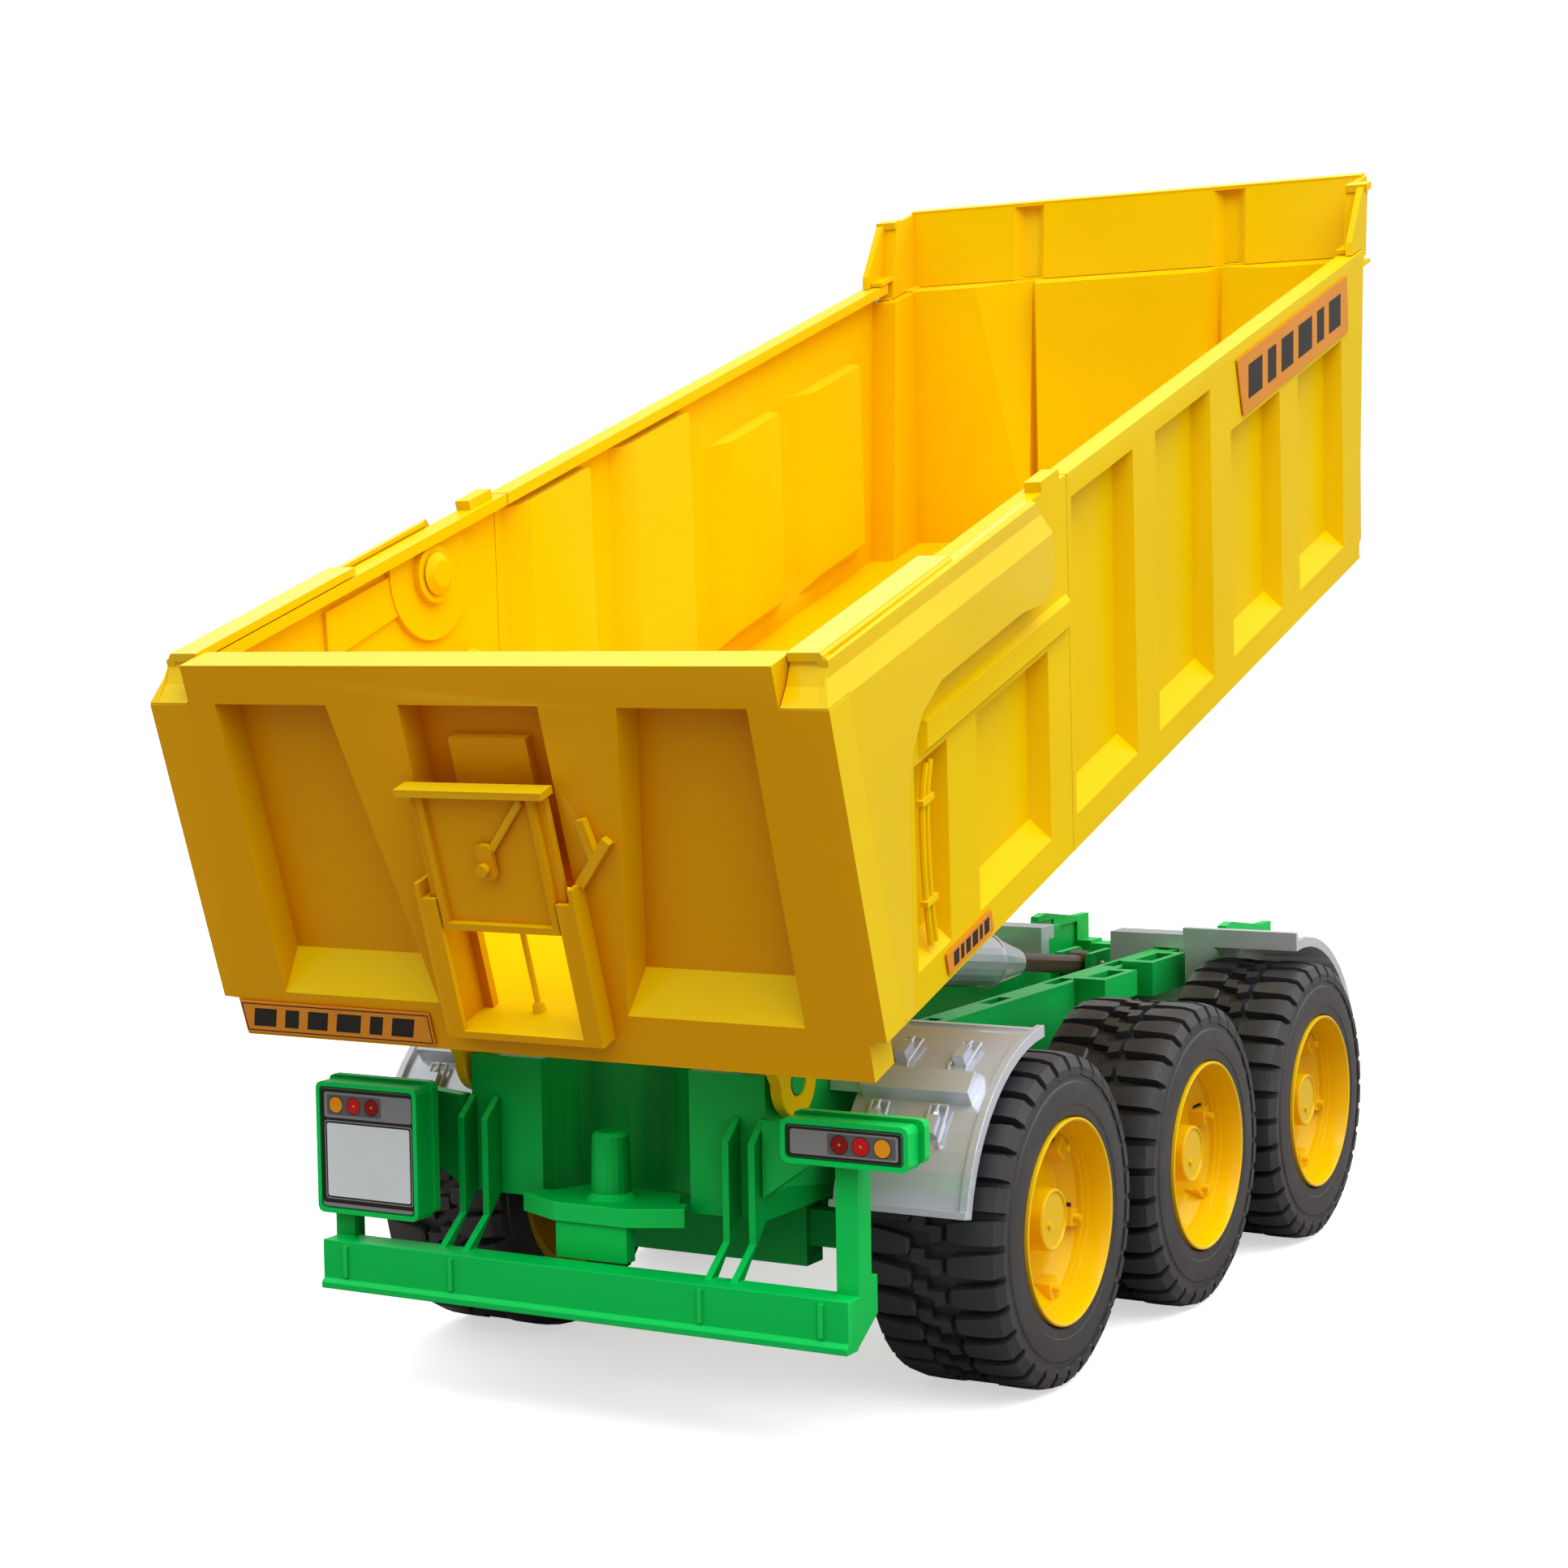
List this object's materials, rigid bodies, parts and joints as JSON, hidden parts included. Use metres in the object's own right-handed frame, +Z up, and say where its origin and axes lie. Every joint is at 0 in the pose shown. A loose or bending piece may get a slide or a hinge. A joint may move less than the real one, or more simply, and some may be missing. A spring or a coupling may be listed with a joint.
{
  "type": "toy tipping trailer",
  "caption": "Toy farm tipping trailer with tandem wheels, a tipping bed on a hinge, a ram, a swinging tailgate with a sliding hatch, and a drawbar with a tow eye.",
  "frame": {"origin": "centre of the footprint, on the ground the tyres stand on", "axes": "+Z up, +Y along the trailer towards the tow eye, +X to the right seen from behind"},
  "size_m": [0.1824, 0.5574, 0.325],
  "materials": {
    "yellow_plastic": "moulded, satin to glossy",
    "green_plastic": "moulded, satin",
    "silver_plastic": "silver-grey moulded, glossy",
    "brown_plastic": "moulded, satin",
    "steel": "bright",
    "tyre": "matte",
    "orange_label": "printed film, plain",
    "pale_sticker": "printed film, plain"
  },
  "bodies": {
    "chassis": {"chassis_frame": "green_plastic", "rear_bumper": "green_plastic", "rear_hitch": "green_plastic", "plate_box": "green_plastic", "lamp_box": "green_plastic", "plate_sticker": "pale_sticker", "lamp_sticker": "pale_sticker", "axle_beam_rear": "green_plastic", "axle_beam_middle": "green_plastic", "axle_beam_front": "green_plastic", "axle_rod_rear": "steel", "axle_rod_middle": "steel", "axle_rod_front": "steel", "mudguard_rear_right": "silver_plastic", "mudguard_rear_left": "silver_plastic", "mudguard_front_right": "silver_plastic", "mudguard_front_left": "silver_plastic", "hinge_pin_right": "green_plastic", "hinge_pin_left": "green_plastic", "drawbar": "green_plastic", "tow_eye": "steel", "ram_eye_pin": "steel"},
    "tipper": {"body_tub": "yellow_plastic", "side_panel_right": "yellow_plastic", "side_panel_left": "yellow_plastic", "headboard": "yellow_plastic", "hinge_ear_right": "yellow_plastic", "hinge_ear_left": "yellow_plastic", "hose_pair_right": "yellow_plastic", "hose_pair_left": "yellow_plastic", "side_label_right": "orange_label", "side_label_left": "orange_label", "sill_label_right": "orange_label", "sill_label_left": "orange_label"},
    "gate": {"tailgate": "yellow_plastic", "tailgate_arm_right": "yellow_plastic", "tailgate_arm_left": "yellow_plastic", "pivot_pin_right": "yellow_plastic", "pivot_pin_left": "yellow_plastic", "tailgate_label": "orange_label"},
    "hatch": {"hatch_door": "yellow_plastic", "hatch_latch": "yellow_plastic"},
    "rod": {"ram_rod": "brown_plastic"},
    "barrel": {"ram_barrel": "silver_plastic"},
    "jack": {"jack_leg": "silver_plastic"},
    "wheel_rear_right": {"rim_rear_right": "yellow_plastic", "tyre_rear_right": "tyre"},
    "wheel_rear_left": {"rim_rear_left": "yellow_plastic", "tyre_rear_left": "tyre"},
    "wheel_middle_right": {"rim_middle_right": "yellow_plastic", "tyre_middle_right": "tyre"},
    "wheel_middle_left": {"rim_middle_left": "yellow_plastic", "tyre_middle_left": "tyre"},
    "wheel_front_right": {"rim_front_right": "yellow_plastic", "tyre_front_right": "tyre"},
    "wheel_front_left": {"rim_front_left": "yellow_plastic", "tyre_front_left": "tyre"}
  },
  "joints": [
    {"name": "body_tip", "type": "hinge", "parent": "chassis", "child": "tipper", "pos_m": [0, -0.21079, 0.082], "axis": [1, 0, 0], "range_deg": [-18.2, 22]},
    {"name": "gate_swing", "type": "hinge", "parent": "tipper", "child": "gate", "pos_m": [0, -0.17557, 0.20221], "axis": [-1, 0, 0], "range_deg": [0, 75]},
    {"name": "hatch_slide", "type": "slide", "parent": "gate", "child": "hatch", "axis": [0, -0.3123, 0.95], "range_m": [-0.025, 0.012]},
    {"name": "ram_swing", "type": "hinge", "parent": "chassis", "child": "rod", "pos_m": [0, 0.05822, 0.0745], "axis": [1, 0, 0], "range_deg": [-10, 8.3]},
    {"name": "ram_stroke", "type": "slide", "parent": "rod", "child": "barrel", "axis": [0, -0.9908, 0.1353], "range_m": [-0.0101, 0.0122]},
    {"name": "jack_slide", "type": "slide", "parent": "chassis", "child": "jack", "axis": [0, 0, -1], "range_m": [0, 0.01]},
    {"name": "spin_rear_right", "type": "hinge", "parent": "chassis", "child": "wheel_rear_right", "pos_m": [0, -0.15379, 0.0415], "axis": [1, 0, 0], "continuous": true},
    {"name": "spin_rear_left", "type": "hinge", "parent": "chassis", "child": "wheel_rear_left", "pos_m": [0, -0.15379, 0.0415], "axis": [1, 0, 0], "continuous": true},
    {"name": "spin_middle_right", "type": "hinge", "parent": "chassis", "child": "wheel_middle_right", "pos_m": [0, -0.06178, 0.0415], "axis": [1, 0, 0], "continuous": true},
    {"name": "spin_middle_left", "type": "hinge", "parent": "chassis", "child": "wheel_middle_left", "pos_m": [0, -0.06178, 0.0415], "axis": [1, 0, 0], "continuous": true},
    {"name": "spin_front_right", "type": "hinge", "parent": "chassis", "child": "wheel_front_right", "pos_m": [0, 0.03021, 0.0415], "axis": [1, 0, 0], "continuous": true},
    {"name": "spin_front_left", "type": "hinge", "parent": "chassis", "child": "wheel_front_left", "pos_m": [0, 0.03021, 0.0415], "axis": [1, 0, 0], "continuous": true}
  ],
  "couplings": [
    {"joint": "ram_swing", "follows": "body_tip", "ratio": -0.44},
    {"joint": "ram_stroke", "follows": "body_tip", "m_per_rad": 0.0312}
  ]
}
